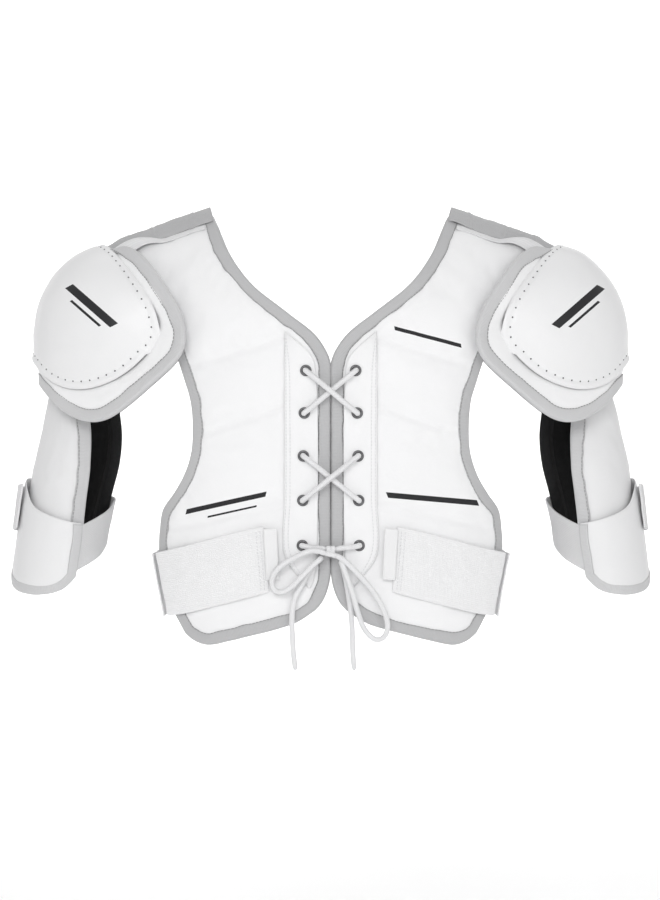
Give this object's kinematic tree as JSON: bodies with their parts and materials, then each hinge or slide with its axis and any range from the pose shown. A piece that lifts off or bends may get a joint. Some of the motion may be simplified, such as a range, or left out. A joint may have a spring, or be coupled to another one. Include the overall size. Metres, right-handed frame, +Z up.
{
  "type": "hockey shoulder pads",
  "caption": "Lace-up padded vest with shoulder caps, hanging upper-arm guards and wrap-round rib straps, worn over the shoulders for ice hockey.",
  "frame": {"origin": "middle of the yoke between the two shoulders, half way from chest to back, level with the cap hinges", "axes": "+X to the wearer's left, +Y from the chest to the back, +Z up to the neck; the laced front faces -Y"},
  "size_m": [0.5776, 0.2203, 0.4107],
  "materials": {
    "cover_fabric": "matt woven nylon",
    "pad_liner": "brushed knit liner over foam",
    "binding_tape": "folded ribbed tape",
    "elastic": "woven elastic webbing",
    "hook_tab": "moulded hook pad",
    "cap_skin": "perforated synthetic leather",
    "arm_skin": "synthetic leather over foam",
    "dark_lining": "brushed black knit",
    "eyelet_metal": "satin enamelled",
    "lace_cord": "round braided cord"
  },
  "bodies": {
    "vest": {"right_chest_cover": "cover_fabric", "right_chest_pad": "pad_liner", "right_chest_binding": "binding_tape", "right_chest_lace_facing": "cover_fabric", "right_back_cover": "cover_fabric", "right_back_pad": "pad_liner", "right_back_binding": "binding_tape", "right_shoulder_seam_tape": "binding_tape", "right_cap_strap": "elastic", "right_rib_strap_rear": "elastic", "right_eyelet_1": "eyelet_metal", "right_eyelet_2": "eyelet_metal", "right_eyelet_3": "eyelet_metal", "right_eyelet_4": "eyelet_metal", "right_eyelet_5": "eyelet_metal", "left_chest_cover": "cover_fabric", "left_chest_pad": "pad_liner", "left_chest_binding": "binding_tape", "left_chest_lace_facing": "cover_fabric", "left_back_cover": "cover_fabric", "left_back_pad": "pad_liner", "left_back_binding": "binding_tape", "left_shoulder_seam_tape": "binding_tape", "left_cap_strap": "elastic", "left_rib_strap_rear": "elastic", "left_eyelet_1": "eyelet_metal", "left_eyelet_2": "eyelet_metal", "left_eyelet_3": "eyelet_metal", "left_eyelet_4": "eyelet_metal", "left_eyelet_5": "eyelet_metal", "back_gore": "elastic", "front_lace": "lace_cord", "lace_bow_right": "lace_cord", "lace_bow_left": "lace_cord"},
    "right_cap": {"right_cap_shell": "cap_skin", "right_cap_pad": "pad_liner", "right_cap_flap": "cap_skin", "right_cap_flap_binding": "binding_tape"},
    "right_arm_hanger": {"right_arm_hanger": "elastic"},
    "right_arm": {"right_arm_pad": "arm_skin", "right_arm_liner": "dark_lining", "right_arm_binding": "binding_tape", "right_arm_lobe": "arm_skin", "right_arm_lobe_binding": "binding_tape", "right_arm_strap": "elastic"},
    "right_rib_strap": {"right_rib_strap_front": "elastic", "right_rib_strap_tab": "hook_tab"},
    "left_cap": {"left_cap_shell": "cap_skin", "left_cap_pad": "pad_liner", "left_cap_flap": "cap_skin", "left_cap_flap_binding": "binding_tape"},
    "left_arm_hanger": {"left_arm_hanger": "elastic"},
    "left_arm": {"left_arm_pad": "arm_skin", "left_arm_liner": "dark_lining", "left_arm_binding": "binding_tape", "left_arm_lobe": "arm_skin", "left_arm_lobe_binding": "binding_tape", "left_arm_strap": "elastic"},
    "left_rib_strap": {"left_rib_strap_front": "elastic", "left_rib_strap_tab": "hook_tab"}
  },
  "joints": [
    {"name": "right_cap_lift", "type": "hinge", "parent": "vest", "child": "right_cap", "pos_m": [-0.192, 0, -0.008], "axis": [0, 1, 0], "range_deg": [0, 45]},
    {"name": "right_arm_raise", "type": "hinge", "parent": "right_cap", "child": "right_arm_hanger", "pos_m": [-0.242, 0.0045, -0.14], "axis": [0, 1, 0], "range_deg": [-6, 14]},
    {"name": "right_arm_swing", "type": "hinge", "parent": "right_arm_hanger", "child": "right_arm", "pos_m": [-0.242, 0.0045, -0.14], "axis": [1, 0, 0], "range_deg": [-12, 12]},
    {"name": "right_rib_strap_open", "type": "hinge", "parent": "vest", "child": "right_rib_strap", "pos_m": [-0.1555, -0.062, -0.29], "axis": [0.2041, -0.071, -0.9764], "range_deg": [0, 100]},
    {"name": "left_cap_lift", "type": "hinge", "parent": "vest", "child": "left_cap", "pos_m": [0.192, 0, -0.008], "axis": [0, -1, 0], "range_deg": [0, 45]},
    {"name": "left_arm_raise", "type": "hinge", "parent": "left_cap", "child": "left_arm_hanger", "pos_m": [0.242, 0.0045, -0.14], "axis": [0, -1, 0], "range_deg": [-6, 14]},
    {"name": "left_arm_swing", "type": "hinge", "parent": "left_arm_hanger", "child": "left_arm", "pos_m": [0.242, 0.0045, -0.14], "axis": [1, 0, 0], "range_deg": [-12, 12]},
    {"name": "left_rib_strap_open", "type": "hinge", "parent": "vest", "child": "left_rib_strap", "pos_m": [0.1555, -0.062, -0.29], "axis": [0.2041, 0.071, 0.9764], "range_deg": [0, 100]}
  ]
}
